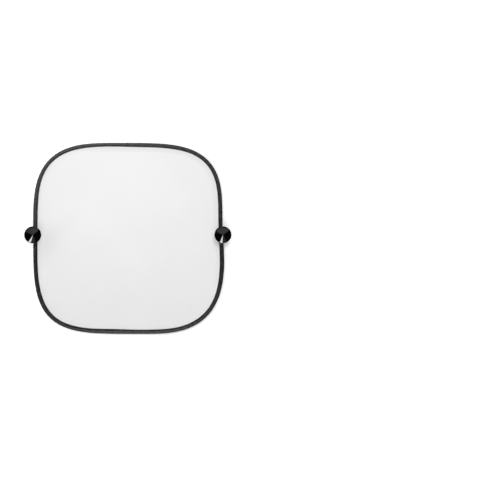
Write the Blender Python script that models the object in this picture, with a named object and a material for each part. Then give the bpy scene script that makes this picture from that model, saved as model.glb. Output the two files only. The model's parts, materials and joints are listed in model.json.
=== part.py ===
# Car window sunshade: a sheet of pale cloth stretched inside a sprung wire hoop, its edge
# covered with a folded black tape, and a suction cup snapped onto the edge at each side.
# It lies flat with its cups facing up: +X is the right side, +Y the top edge, +Z up.
# The origin is on the floor, midway between the cups. Everything is in metres.

import math

import bmesh
import bpy
import numpy as np
from mathutils import Matrix, Vector

# Outline of the shade, measured over the tape
SHADE_WIDTH = 0.3825
SHADE_HEIGHT = 0.3820
# Where each side reaches furthest out, from the middle of the outline
TOP_CROWN_X = -0.0280
BOTTOM_CROWN_X = 0.0285
LEFT_CROWN_Y = 0.0270
RIGHT_CROWN_Y = -0.0225
# How square each corner is: 2 is an ellipse, and more is squarer
TOP_RIGHT_SQUARENESS = 4.14
TOP_LEFT_SQUARENESS = 3.15
BOTTOM_LEFT_SQUARENESS = 4.37
BOTTOM_RIGHT_SQUARENESS = 2.94
# The hoop is pulled in a little behind the right cup
DENT_DEPTH = 0.0037
DENT_DIRECTION = math.radians(11.2)
DENT_SPREAD = math.radians(29.8)

# Cloth, tape and hoop
CLOTH_THICKNESS = 0.0003
TAPE_WIDTH = 0.0085
TAPE_THICKNESS = 0.0006
SEAM_INSET = 0.0018
SEAM_BEND_RADIUS = 0.0012
CLOTH_UNDER_TAPE = 0.00455
WIRE_DIAMETER = 0.0015
FERRULE_WALL = 0.0004
FERRULE_LENGTH = 0.0220
FERRULE_POSITION_X = 0.0200
CRIMP_PLACE = 0.0057
CRIMP_LENGTH = 0.0044
CRIMP_DEPTH = 0.00015
WIRE_FIT = 0.0001
WIRE_END_GAP = 0.0006
WIRE_SPRING_RUN = 0.0300
CLEARANCE = 0.0003

# Suction cups
CUP_Y = 0.0070
CUP_OVERHANG = 0.00205
CUP_RADIUS = 0.0170
CUP_CONE_ANGLE = math.radians(22)
CUP_BACK_ANGLE = math.radians(29)
CUP_RIM_THICKNESS = 0.00085
CUP_LIP_WIDTH = 0.0022
CUP_LIP_ROOT = 0.00115
CUP_EDGE_ROUND = 0.00025
CUP_APEX_ROUND = 0.0030
NECK_RADIUS = 0.0050
NECK_LENGTH = 0.0020
NECK_FILLET = 0.0010
HEAD_RADIUS = 0.0066
HEAD_ROUND = 0.0009
SOCKET_FLOOR = 0.0012
SOCKET_ROOF = 0.0011
CUP_ROCK = math.radians(6)

# Fineness of the faces
OUTLINE_STATIONS = 96
CORNER_STEPS = 400
FOLD_STEPS = 8
SEAM_BEND_STEPS = 1
WIRE_SIDES = 8
FERRULE_SIDES = 12
CUP_STEPS = 40
ROUND_STEPS = 3
EDGE_STEPS = 2
SOCKET_STEPS = 16
CLOTH_RINGS = 5
SHARP_ANGLE = math.radians(40)
CUT_OVERRUN = 0.0020
WELD_DISTANCE = 1e-6

# Sizes that follow from the ones above
FERRULE_BORE = WIRE_DIAMETER + 2 * WIRE_FIT
FERRULE_DIAMETER = FERRULE_BORE + 2 * FERRULE_WALL
FOLD_INNER_RADIUS = FERRULE_DIAMETER / 2 + CLEARANCE
FOLD_OUTER_RADIUS = FOLD_INNER_RADIUS + TAPE_THICKNESS
FOLD_MIDDLE_RADIUS = FOLD_INNER_RADIUS + TAPE_THICKNESS / 2
FOLD_CENTRE = TAPE_WIDTH / 2 - FOLD_OUTER_RADIUS
LEG_HEIGHT = CLOTH_THICKNESS / 2 + CLEARANCE + TAPE_THICKNESS / 2
SEAM_PLACE = SEAM_INSET - TAPE_WIDTH / 2
SOCKET_RADIUS = FOLD_OUTER_RADIUS + CLEARANCE
SOCKET_Z = SOCKET_FLOOR + SOCKET_RADIUS
HEAD_HEIGHT = SOCKET_Z + SOCKET_RADIUS + SOCKET_ROOF
LINE_HALF_WIDTH = (SHADE_WIDTH - TAPE_WIDTH) / 2
LINE_HALF_HEIGHT = (SHADE_HEIGHT - TAPE_WIDTH) / 2


def clear_scene():
    for item in list(bpy.data.objects):
        bpy.data.objects.remove(item, do_unlink=True)


def material(name, colour, roughness, metallic=0.0):
    made = bpy.data.materials.new(name)
    made.use_nodes = True
    shader = made.node_tree.nodes["Principled BSDF"]
    shader.inputs["Base Color"].default_value = (*colour, 1.0)
    shader.inputs["Roughness"].default_value = roughness
    shader.inputs["Metallic"].default_value = metallic
    return made


def add_object(name, bm, finish):
    bmesh.ops.recalc_face_normals(bm, faces=bm.faces)
    mesh = bpy.data.meshes.new(name)
    bm.to_mesh(mesh)
    bm.free()
    mesh.shade_smooth()
    mesh.set_sharp_from_angle(angle=SHARP_ANGLE)
    made = bpy.data.objects.new(name, mesh)
    bpy.context.collection.objects.link(made)
    if finish:
        mesh.materials.append(finish)
    return made


def arc(centre, radius, start, end, steps):
    """Points on a circle arc in a plane, both ends included. Angles are in degrees."""
    angles = np.radians(np.linspace(start, end, steps + 1))
    return [(centre[0] + radius * math.cos(a), centre[1] + radius * math.sin(a)) for a in angles]


# The outline: the middle line of the tape, seen from above

def quarter(side, crown, square):
    """One corner of the outline, from the side's crown to the top or bottom crown."""
    turn = np.linspace(0, math.pi / 2, CORNER_STEPS)
    across = np.maximum(np.cos(turn), 0) ** (2 / square)
    along = np.sin(turn) ** (2 / square)
    x = crown[0] + (side[0] - crown[0]) * across
    y = side[1] + (crown[1] - side[1]) * along
    return np.column_stack([x, y])


def raw_outline():
    """Four squarish corners meeting at the crowns of the sides, anticlockwise from the right."""
    right = (LINE_HALF_WIDTH, RIGHT_CROWN_Y)
    left = (-LINE_HALF_WIDTH, LEFT_CROWN_Y)
    top = (TOP_CROWN_X, LINE_HALF_HEIGHT)
    bottom = (BOTTOM_CROWN_X, -LINE_HALF_HEIGHT)
    top_right = quarter(right, top, TOP_RIGHT_SQUARENESS)
    top_left = quarter(left, top, TOP_LEFT_SQUARENESS)[::-1]
    bottom_left = quarter(left, bottom, BOTTOM_LEFT_SQUARENESS)
    bottom_right = quarter(right, bottom, BOTTOM_RIGHT_SQUARENESS)[::-1]
    corners = (top_right, top_left, bottom_left, bottom_right)
    return np.vstack([corner[:-1] for corner in corners])


def dented(points):
    """Pulls the outline in along a smooth hollow behind the right cup."""
    angle = np.arctan2(points[:, 1], points[:, 0])
    reach = np.hypot(points[:, 0], points[:, 1])
    off = np.abs(angle - DENT_DIRECTION) / DENT_SPREAD
    pull = np.where(off < 1, 0.5 + 0.5 * np.cos(math.pi * np.minimum(off, 1)), 0)
    share = 1 - DENT_DEPTH * pull / reach
    return points * share[:, None]


def side_x(points, side):
    """How far out the outline is at the height of the cups, on the side +1 or -1."""
    near = points[points[:, 0] * side > 0]
    near = near[np.argsort(near[:, 1])]
    return float(np.interp(CUP_Y, near[:, 1], near[:, 0]))


def stations(points, count):
    """Even steps along the outline, closer together where it turns."""
    step = np.roll(points, -1, axis=0) - points
    length = np.hypot(step[:, 0], step[:, 1])
    heading = np.unwrap(np.arctan2(step[:, 1], step[:, 0]))
    turning = np.abs(np.diff(heading, append=heading[0] + 2 * math.pi))
    weight = length / length.sum() + turning / turning.sum()
    travel = np.concatenate([[0], np.cumsum(weight)])
    wanted = np.linspace(0, travel[-1], count, endpoint=False)
    ring = np.vstack([points, points[:1]])
    return np.column_stack([np.interp(wanted, travel, ring[:, axis]) for axis in (0, 1)])


def outward_normals(points):
    ahead = np.roll(points, -1, axis=0) - np.roll(points, 1, axis=0)
    ahead /= np.hypot(ahead[:, 0], ahead[:, 1])[:, None]
    return np.column_stack([ahead[:, 1], -ahead[:, 0]])


def centred_outline():
    """The outline, moved sideways so that the two cups stand evenly about the origin."""
    points = dented(raw_outline())
    shift = (side_x(points, 1) + side_x(points, -1)) / 2
    return points - np.array([shift, 0])


OUTLINE = centred_outline()
STATIONS = stations(OUTLINE, OUTLINE_STATIONS)
NORMALS = outward_normals(STATIONS)


def height(x, y):
    """The hoop is a very shallow saddle: lifted by the cups' heads, down at top and bottom."""
    at_cups = SOCKET_Z
    at_ends = FOLD_OUTER_RADIUS
    rise = (x ** 2 / LINE_HALF_WIDTH ** 2 - y ** 2 / LINE_HALF_HEIGHT ** 2) / 2
    return (at_cups + at_ends) / 2 + (at_cups - at_ends) * rise


def edge_point(index, outward, up=0.0):
    """A point of the edge at one station, by its distance outward and up from the middle line."""
    place = STATIONS[index] + outward * NORMALS[index]
    return Vector((place[0], place[1], height(*STATIONS[index]) + up))


# Sweeps along the edge

def sweep_ring(section):
    """One closed ring with the same section all the way round."""
    bm = bmesh.new()
    rings = []
    for index in range(len(STATIONS)):
        rings.append([bm.verts.new(edge_point(index, out, up)) for out, up in section])
    for index, ring in enumerate(rings):
        join_rings(bm, ring, rings[(index + 1) % len(rings)])
    return bm


def sweep_rod(path, radii, sides):
    """A round rod along a path of points, with flat ends. Each radius is a width and a height."""
    bm = bmesh.new()
    rings = []
    for index, place in enumerate(path):
        before = path[max(index - 1, 0)]
        after = path[min(index + 1, len(path) - 1)]
        ahead = (after - before).normalized()
        across = ahead.cross(Vector((0, 0, 1))).normalized()
        upward = across.cross(ahead)
        wide, tall = radii[index]
        turns = [2 * math.pi * side / sides for side in range(sides)]
        ring = [place + across * wide * math.cos(a) + upward * tall * math.sin(a) for a in turns]
        rings.append([bm.verts.new(point) for point in ring])
    for first, second in zip(rings, rings[1:]):
        join_rings(bm, first, second)
    bm.faces.new(rings[0])
    bm.faces.new(rings[-1])
    return bm


def join_rings(bm, first, second):
    for index in range(len(first)):
        after = (index + 1) % len(first)
        bm.faces.new([first[index], first[after], second[after], second[index]])


# The tape: folded round the hoop, with its two legs lying on the cloth

def tape_slope():
    """The angle at which each leg rises from the seam to lie against the fold's round back."""
    across = FOLD_CENTRE - SEAM_PLACE
    rise = LEG_HEIGHT + SEAM_BEND_RADIUS
    between = math.hypot(across, rise)
    return math.atan2(across, rise) - math.acos((FOLD_MIDDLE_RADIUS + SEAM_BEND_RADIUS) / between)


def tape_face(offset):
    """One face of the folded tape, from the end of the lower leg round to the upper one."""
    slope = math.degrees(tape_slope())
    bend_centre = (SEAM_PLACE, LEG_HEIGHT + SEAM_BEND_RADIUS)
    upper = arc(bend_centre, SEAM_BEND_RADIUS - offset, slope - 90, -90, SEAM_BEND_STEPS)
    lower = [(out, -up) for out, up in reversed(upper)]
    fold_end = 90 + slope
    fold = arc((FOLD_CENTRE, 0), FOLD_MIDDLE_RADIUS + offset, -fold_end, fold_end, FOLD_STEPS)
    leg_end = (-TAPE_WIDTH / 2, LEG_HEIGHT + offset)
    return [(leg_end[0], -leg_end[1])] + lower + fold + upper + [leg_end]


def make_edge_binding(finish):
    outer = tape_face(TAPE_THICKNESS / 2)
    inner = tape_face(-TAPE_THICKNESS / 2)
    return add_object("edge_binding", sweep_ring(outer + inner[::-1]), finish)


# The cloth: one thin sheet, cut to end inside the tape

def make_shade_cloth(finish):
    bm = bmesh.new()
    edge = [edge_point(index, CLOTH_UNDER_TAPE - TAPE_WIDTH / 2) for index in range(len(STATIONS))]
    middle = sum(edge, Vector()) / len(edge)
    rings = []
    for ring_index in range(CLOTH_RINGS):
        share = 1 - ring_index / CLOTH_RINGS
        ring = []
        for point in edge:
            place = middle.lerp(point, share)
            ring.append(bm.verts.new((place.x, place.y, height(place.x, place.y))))
        rings.append(ring)
    for outer, inner in zip(rings, rings[1:]):
        join_rings(bm, outer, inner)
    centre = bm.verts.new((middle.x, middle.y, height(middle.x, middle.y)))
    for first, second in zip(rings[-1], rings[-1][1:] + rings[-1][:1]):
        bm.faces.new([first, second, centre])
    cloth = add_object("shade_cloth", bm, finish)
    wall = cloth.modifiers.new("cloth thickness", "SOLIDIFY")
    wall.thickness = CLOTH_THICKNESS
    wall.offset = 0
    return cloth


# The hoop: one length of spring wire, its ends meeting in a crimped ferrule

def hoop_lengths():
    """How far along the outline each station lies, with the whole length at the end."""
    step = np.roll(STATIONS, -1, axis=0) - STATIONS
    return np.concatenate([[0], np.cumsum(np.hypot(step[:, 0], step[:, 1]))])


def ferrule_travel():
    """How far along the outline the wire's ends meet, on the bottom edge."""
    travel = hoop_lengths()[:-1]
    bottom = STATIONS[:, 1] < -LINE_HALF_HEIGHT / 2
    order = np.argsort(STATIONS[bottom][:, 0])
    return float(np.interp(FERRULE_POSITION_X, STATIONS[bottom][order, 0], travel[bottom][order]))


def hoop_point(distance, outward):
    """A point of the wire, by its distance along the outline past the ferrule's middle."""
    travel = hoop_lengths()
    place = (ferrule_travel() + distance) % travel[-1]
    index = int(np.searchsorted(travel, place, side="right")) - 1
    share = (place - travel[index]) / (travel[index + 1] - travel[index])
    here = edge_point(index, outward)
    following = edge_point((index + 1) % len(STATIONS), outward)
    return here.lerp(following, share)


def spring_out(distance, whole):
    """The wire springs out against the fold, but the ferrule holds it in the fold's middle."""
    play = FOLD_INNER_RADIUS - CLEARANCE - WIRE_DIAMETER / 2
    from_ferrule = min(distance, whole - distance) - FERRULE_LENGTH / 2
    share = min(max(from_ferrule / WIRE_SPRING_RUN, 0), 1)
    return FOLD_CENTRE + play * share * share * (3 - 2 * share)


def make_spring_hoop(finish):
    travel = hoop_lengths()
    whole = travel[-1]
    meeting = ferrule_travel()
    passed = sorted((travel[:-1] - meeting) % whole)
    ends = [WIRE_END_GAP / 2, FERRULE_LENGTH / 2, whole - FERRULE_LENGTH / 2, whole - WIRE_END_GAP / 2]
    distances = sorted(ends + [d for d in passed if ends[0] < d < ends[-1]])
    path = [hoop_point(d, spring_out(d, whole)) for d in distances]
    radius = (WIRE_DIAMETER / 2, WIRE_DIAMETER / 2)
    return add_object("spring_hoop", sweep_rod(path, [radius] * len(path), WIRE_SIDES), finish)


def make_hoop_ferrule(finish):
    """A short tube, nipped from above and below at two places to grip the wire's ends."""
    radius = FERRULE_DIAMETER / 2
    half = [(0, radius), (CRIMP_PLACE - CRIMP_LENGTH / 2, radius), (CRIMP_PLACE, radius - CRIMP_DEPTH),
            (CRIMP_PLACE + CRIMP_LENGTH / 2, radius), (FERRULE_LENGTH / 2, radius)]
    shape = [(-distance, tall) for distance, tall in reversed(half[1:])] + half
    path = [hoop_point(distance, FOLD_CENTRE) for distance, tall in shape]
    radii = [(radius, tall) for distance, tall in shape]
    ferrule = add_object("hoop_ferrule", sweep_rod(path, radii, FERRULE_SIDES), finish)
    bore = FERRULE_BORE / 2
    ends = [hoop_point(side * (FERRULE_LENGTH / 2 + CUT_OVERRUN), FOLD_CENTRE) for side in (-1, 1)]
    bore_path = [ends[0]] + path[1:-1] + [ends[1]]
    rod = sweep_rod(bore_path, [(bore, bore)] * len(bore_path), FERRULE_SIDES)
    cut_away(ferrule, cutter_object("ferrule_bore", rod))
    return ferrule


def cutter_object(name, bm):
    cutter = add_object(name, bm, None)
    cutter.hide_render = True
    cutter.display_type = "WIRE"
    return cutter


def cut_away(body, cutter):
    cut = body.modifiers.new(cutter.name, "BOOLEAN")
    cut.operation = "DIFFERENCE"
    cut.solver = "EXACT"
    cut.object = cutter


# The suction cups: turned round their own axis, with a keyhole slot through the head

def cup_profile():
    """Radius and height from the middle of the hollow face, over the rim, down to the foot."""
    rim_centre = CUP_RADIUS - CUP_EDGE_ROUND
    lip_radius = rim_centre - CUP_LIP_WIDTH
    back_z = HEAD_HEIGHT + NECK_LENGTH
    root_z = back_z + (lip_radius - NECK_RADIUS) * math.tan(CUP_BACK_ANGLE)
    top = root_z + CUP_LIP_ROOT
    cone_tip = top - lip_radius * math.tan(CUP_CONE_ANGLE)
    cone = math.degrees(CUP_CONE_ANGLE)
    back = math.degrees(CUP_BACK_ANGLE)
    apex_centre = (0, cone_tip + CUP_APEX_ROUND / math.cos(CUP_CONE_ANGLE))
    points = arc(apex_centre, CUP_APEX_ROUND, -90, cone - 90, ROUND_STEPS)
    points += [(lip_radius, top)]
    points += arc((rim_centre, top - CUP_EDGE_ROUND), CUP_EDGE_ROUND, 90, 0, EDGE_STEPS)
    lower_edge = top - CUP_RIM_THICKNESS + CUP_EDGE_ROUND
    points += arc((rim_centre, lower_edge), CUP_EDGE_ROUND, 0, -90, EDGE_STEPS)
    points += [(lip_radius, root_z)]
    rounding = math.tan((math.pi / 2 - CUP_BACK_ANGLE) / 2)
    fillet_centre = (NECK_RADIUS + NECK_FILLET, back_z - NECK_FILLET * rounding)
    points += arc(fillet_centre, NECK_FILLET, back + 90, 180, ROUND_STEPS)
    points += [(NECK_RADIUS, HEAD_HEIGHT)]
    head_centre = HEAD_RADIUS - HEAD_ROUND
    points += arc((head_centre, HEAD_HEIGHT - HEAD_ROUND), HEAD_ROUND, 90, 0, ROUND_STEPS)
    points += arc((head_centre, HEAD_ROUND), HEAD_ROUND, 0, -90, ROUND_STEPS)
    points += [(0, 0)]
    return points


def turned(profile):
    """Spins a profile of radius and height round the cup's axis into a closed solid."""
    bm = bmesh.new()
    middle = Vector((CUP_OVERHANG, 0, -SOCKET_Z))
    verts = [bm.verts.new(middle + Vector((radius, 0, up))) for radius, up in profile]
    edges = [bm.edges.new(pair) for pair in zip(verts, verts[1:])]
    bmesh.ops.spin(bm, geom=verts + edges, cent=middle, axis=(0, 0, 1), angle=2 * math.pi,
                   steps=CUP_STEPS, use_merge=True)
    bmesh.ops.remove_doubles(bm, verts=bm.verts, dist=WELD_DISTANCE)
    return bm


def keyhole():
    """The slot's outline about the hinge: a round socket, and a throat that narrows to its mouth.

    The throat's walls stand off the tape's slopes by the angle that the cup can rock.
    """
    taper = tape_slope() - CUP_ROCK
    socket_end = 90 + math.degrees(taper)
    socket = arc((0, 0), SOCKET_RADIUS, socket_end, -socket_end, SOCKET_STEPS)
    mouth = CUP_OVERHANG - HEAD_RADIUS - CUT_OVERRUN
    mouth_half = SOCKET_RADIUS / math.cos(taper) + mouth * math.tan(taper)
    return socket + [(mouth, -mouth_half), (mouth, mouth_half)]


def keyhole_cutter(name):
    bm = bmesh.new()
    length = 2 * (HEAD_RADIUS + CUT_OVERRUN)
    face = bm.faces.new([bm.verts.new((x, -length / 2, z)) for x, z in keyhole()])
    grown = bmesh.ops.extrude_face_region(bm, geom=[face])["geom"]
    moved = [item for item in grown if isinstance(item, bmesh.types.BMVert)]
    bmesh.ops.translate(bm, verts=moved, vec=(0, length, 0))
    return cutter_object(name, bm)


def cup_place(side):
    """The hinge on the fold's middle at the height of a cup, and the turn of the cup about Z."""
    x = side_x(OUTLINE, side)
    nearest = np.argmin(np.hypot(OUTLINE[:, 0] - x, OUTLINE[:, 1] - CUP_Y))
    normal = outward_normals(OUTLINE)[nearest]
    place = Matrix.Translation((x + FOLD_CENTRE * normal[0], CUP_Y + FOLD_CENTRE * normal[1], SOCKET_Z))
    return place @ Matrix.Rotation(math.atan2(normal[1], normal[0]), 4, "Z")


def make_suction_cup(name, side, finish):
    """A cup with its origin on its hinge, its local +X pointing away from the shade."""
    cup = add_object(name, turned(cup_profile()), finish)
    cutter = keyhole_cutter(name + "_slot")
    cup.matrix_world = cup_place(side)
    cutter.matrix_world = cup_place(side)
    cut_away(cup, cutter)
    return cup


def main():
    clear_scene()
    cloth_finish = material("grey white taffeta", (0.82, 0.82, 0.82), 0.75)
    tape_finish = material("black tape", (0.035, 0.035, 0.036), 0.6)
    steel_finish = material("spring steel", (0.55, 0.55, 0.56), 0.35, 1.0)
    cup_finish = material("glossy black vinyl", (0.012, 0.012, 0.013), 0.12)
    make_shade_cloth(cloth_finish)
    make_edge_binding(tape_finish)
    make_spring_hoop(steel_finish)
    make_hoop_ferrule(steel_finish)
    make_suction_cup("suction_cup_left", -1, cup_finish)
    make_suction_cup("suction_cup_right", 1, cup_finish)


main()
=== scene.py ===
# The looks of the car window sunshade: pale cloth in a taped spring hoop, with a suction
# cup snapped onto each side. It lies flat with its cups up, in metres, +Y to the top edge.

import json
import math

import bmesh
import bpy
import numpy as np
from mathutils import Matrix, Vector


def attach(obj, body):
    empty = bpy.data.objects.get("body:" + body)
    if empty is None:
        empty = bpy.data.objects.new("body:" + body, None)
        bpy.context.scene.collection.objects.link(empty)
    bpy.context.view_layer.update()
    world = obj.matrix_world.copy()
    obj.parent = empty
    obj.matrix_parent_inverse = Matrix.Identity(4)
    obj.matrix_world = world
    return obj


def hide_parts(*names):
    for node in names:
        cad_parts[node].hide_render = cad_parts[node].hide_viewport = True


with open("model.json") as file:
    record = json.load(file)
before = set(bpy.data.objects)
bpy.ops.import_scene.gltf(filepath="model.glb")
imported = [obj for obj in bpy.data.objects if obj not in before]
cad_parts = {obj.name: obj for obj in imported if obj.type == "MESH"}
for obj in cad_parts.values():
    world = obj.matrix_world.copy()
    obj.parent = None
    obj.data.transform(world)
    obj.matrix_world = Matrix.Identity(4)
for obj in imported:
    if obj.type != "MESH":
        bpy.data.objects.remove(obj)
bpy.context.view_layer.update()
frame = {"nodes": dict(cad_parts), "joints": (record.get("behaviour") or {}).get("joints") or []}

# Outline of the shade, measured over the tape
SHADE_WIDTH = 0.3825
SHADE_HEIGHT = 0.3820
# Where each side reaches furthest out, from the middle of the outline
TOP_CROWN_X = -0.0280
BOTTOM_CROWN_X = 0.0285
LEFT_CROWN_Y = 0.0270
RIGHT_CROWN_Y = -0.0225
# How square each corner is: 2 is an ellipse, and more is squarer
TOP_RIGHT_SQUARENESS = 4.14
TOP_LEFT_SQUARENESS = 3.15
BOTTOM_LEFT_SQUARENESS = 4.37
BOTTOM_RIGHT_SQUARENESS = 2.94
# The hoop is pulled in a little behind the right cup
DENT_DEPTH = 0.0037
DENT_DIRECTION = math.radians(11.2)
DENT_SPREAD = math.radians(29.8)
CORNER_STEPS = 400

# Cloth
CLOTH_THICKNESS = 0.0003
CLOTH_UNDER_TAPE = 0.00455
CLOTH_GRID = 120
CLOTH_EDGE_STEPS = 2000
CLOTH_WAVE = 0.00016
SLANT_WAVE_LENGTH = 0.145
CROSS_WAVE_LENGTH = 0.21
CLOTH_BOW = 0.0002
CLOTH_BOW_SPAN = 0.37
CLOTH_PUCKER = 0.00006
CLOTH_PUCKER_START = 0.0047
CLOTH_PUCKER_RISE = 0.003
CLOTH_PUCKER_REACH = 0.012

# Tape: folded round the hoop, with a leg on each face of the cloth
TAPE_WIDTH = 0.0085
TAPE_THICKNESS = 0.0005
FOLD_RADIUS = 0.00215
LEG_GAP = 0.00003
LEG_EDGE_ROUND = 0.00004
# Where the section has points on a leg, measured in from its cut edge
OUTER_LEG_PLACES = (0.00198, 0.0018, 0.0016, 0.0013, 0.0008, 0.0001)
INNER_LEG_PLACES = (0.0001,)
# The cut edges stand off the cloth in small waves, which end this far out across the tape
EDGE_WAVE = 0.00005
EDGE_WAVE_END = -0.0033
# The legs wander sideways, and less and less between the seam and the middle of the fold
LEG_WANDER = 0.00012
WANDER_PAST_SEAM = 0.0002
WANDER_SHORT_OF_FOLD = 0.0006
# Where the legs were folded off their true width: degrees round the hoop, reach in degrees,
# and how much narrower
UNEVEN_FOLDS = ((38, 20, 0.0005), (100, 13, 0.0012), (132, 16, 0.0005), (161, 10, -0.0007),
                (221, 9, -0.0004), (260, 13, -0.0011), (344, 10, -0.0007))
# The slots hold the tape even: its puckers and wander fade out between these distances
CUP_CALM_START = 0.0078
CUP_CALM_END = 0.0130

# Slanting puckers that the sewing pulls into the tape, growing from the seam up its slope
PUCKERS = 130
TAPE_PUCKER = 0.00013
PUCKER_RISE = 0.0012
PUCKER_LEAN = 700
PUCKER_SHIFT = 0.8
PUCKER_STRENGTH = 0.65
PUCKER_UNEVENNESS = 0.35
PUCKER_DRIFT = 2.2

# Seam
STITCHES = 400
STATIONS_PER_STITCH = 4
SEAM_INSET = 0.0018
SEAM_BEND_RADIUS = 0.0012
SEAM_BEND_SHIFT = 0.0004
SEAM_DIP = 0.00012
SEAM_DIP_WIDTH = 0.00035
SEAM_DIP_SWING = 0.45

# Thread
THREAD_RADIUS = 0.00019
THREAD_SIDES = 6
THREAD_SINK = 0.55
THREAD_WANDER = 0.00006
STITCH_COVER = 0.80
STITCH_LEAN = math.radians(7)
# Rings along one stitch: place as a share of its half length, height, and share of the radius
STITCH_RINGS = ((-1.0, -0.00030, 0.75), (-0.86, -0.00008, 0.95), (-0.55, 0.00004, 1.0),
                (0.0, 0.00007, 1.0), (0.55, 0.00004, 1.0), (0.86, -0.00008, 0.95), (1.0, -0.00030, 0.75))

# Suction cups
CUP_Y = 0.0070
CUP_OVERHANG = 0.00205
CUP_RADIUS = 0.0170
CUP_CONE_ANGLE = math.radians(22)
CUP_BACK_ANGLE = math.radians(27.75)
CUP_RIM_THICKNESS = 0.00085
CUP_LIP_WIDTH = 0.0022
CUP_LIP_SLOPE = math.radians(17)
CUP_LIP_ROOT = 0.001419
CUP_LIP_RING = 0.0005
CUP_LIP_BLEND = 0.0004
CUP_BACK_BLEND = 0.00006
CUP_EDGE_ROUND = 0.00025
CUP_CONE_RING = 0.0060
CUP_APEX_ROUND = 0.0030
NECK_RADIUS = 0.0050
NECK_LENGTH = 0.0020
NECK_FILLET = 0.0010
HEAD_FILLET = 0.0005
HEAD_RADIUS = 0.0066
HEAD_ROUND = 0.0009
SOCKET_FLOOR = 0.0012
SOCKET_RADIUS = 0.00245
SOCKET_ROOF = 0.0011
SOCKET_SIDES = 64
THROAT_TAPER = math.radians(8.4)
CUT_OVERRUN = 0.0020
CUP_SIDES = 144

# Cloth finish
WEAVE_PITCH = 0.00034
WEAVE_DEPTH = 0.00004
SLUB_SIZE = 0.0006
CLOUD_SIZE = 0.09
GATHER_SIZE = 0.0030
GATHER_DEPTH = 0.00025
# How far in from the cut edge the painted shade along the hem fades out
HEM_SHADE = (0.004, 0.018)

# Tape finish
RIB_PITCH = 0.00062
TAPE_THREAD_PITCH = 0.00042
TAPE_WEAVE_DEPTH = 0.00009
LINT_SIZE = 0.0012
RUBBED_PATCH_SIZE = 0.008
CREST_PLACE = 0.0006
VALLEY_INSET = 0.0006
# The tape's mean tone, and painted sheen that makes it paler on some stretches round the hoop: turns,
# strength and phase of each slow wave
TAPE_TONE_MEAN = 0.335
PAINTED_SHEEN_STRETCHES = ((1, 0.187, -0.88), (2, 0.219, -2.28), (3, 0.064, -0.18))
# How far up the sunshade the painted shade in the hollow beside the seam, and the extra painted crest
# highlight, fade out along the bottom edge
LOW_EDGE = (-0.186, -0.150)

# Thread, vinyl and steel finishes
PLY_PITCH = 0.0004
FUZZ_SIZE = 0.0003
PLY_DEPTH = 0.00004
FLOW_SIZE = 0.0035
FLOW_DEPTH = 0.00004
SMUDGE_SIZE = 0.0045
DUST_SPACING = 0.0016
DULL_RIM = (0.0152, 0.0168)
STAIN_SIZE = 0.004
DRAWING_DEPTH = 0.00002

# Camera, floor and lamps
CAMERA_PLACE = (0.2237, -0.0032, 5.0)
CAMERA_LENS = 187.5
CAMERA_REACH = 200
FLOOR_SIZE = 40.0
FLOOR_DROP = 0.00005
# How much the floor is lifted to white: everywhere, more on the left, and more far away, with
# the places between which the last two come in
FLOOR_LIFT = 0.27
FLOOR_LEFT_LIFT = 0.2
FLOOR_LEFT = (-0.20, 0.16)
FLOOR_FAR_LIFT = 0.5
FLOOR_FAR = (0.3, 1.0)
# Each lamp's azimuth and degrees off overhead, distance, width, height and brightness
STRIP_LIGHT = (76, 39, 12.0, 2.45, 3.56, 17.5)
KEY_SOFTBOX = (64, 38, 5.0, 1.90, 1.90, 8.4)
NEAR_SOFTBOX = (102, 25, 0.50, 0.30, 0.25, 2.1)
FILL_SOFTBOX = (255, 45, 6.0, 5.80, 5.80, 1.02)

# Pale parts of the dark room: azimuth, half width and softness in degrees, and the degrees
# off overhead over which the top edge comes in and the bottom edge goes out
GREY_CARD = (275, 60, 6, (26, 45), (52, 58))
CARD_BRIGHTNESS = 0.95
EDGE_GLOW = (101, 17, 12, (26, 34), (52, 58))
EDGE_GLOW_BRIGHTNESS = 0.55
WINDOW = (150, 50, 30, (62, 70), (80, 88))
WINDOW_BRIGHTNESS = 4.2
HORIZON = (0.26, 0.40)
HORIZON_BRIGHTNESS = 0.8

# Sizes that follow from the ones above
FOLD_CENTRE = TAPE_WIDTH / 2 - FOLD_RADIUS
FOLD_MIDDLE_RADIUS = FOLD_RADIUS - TAPE_THICKNESS / 2
LEG_HEIGHT = CLOTH_THICKNESS / 2 + LEG_GAP + TAPE_THICKNESS / 2
SEAM_PLACE = SEAM_INSET - TAPE_WIDTH / 2
SOCKET_Z = SOCKET_FLOOR + SOCKET_RADIUS
HEAD_HEIGHT = SOCKET_Z + SOCKET_RADIUS + SOCKET_ROOF
LINE_HALF_WIDTH = (SHADE_WIDTH - TAPE_WIDTH) / 2
LINE_HALF_HEIGHT = (SHADE_HEIGHT - TAPE_WIDTH) / 2


# Node graphs

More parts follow.
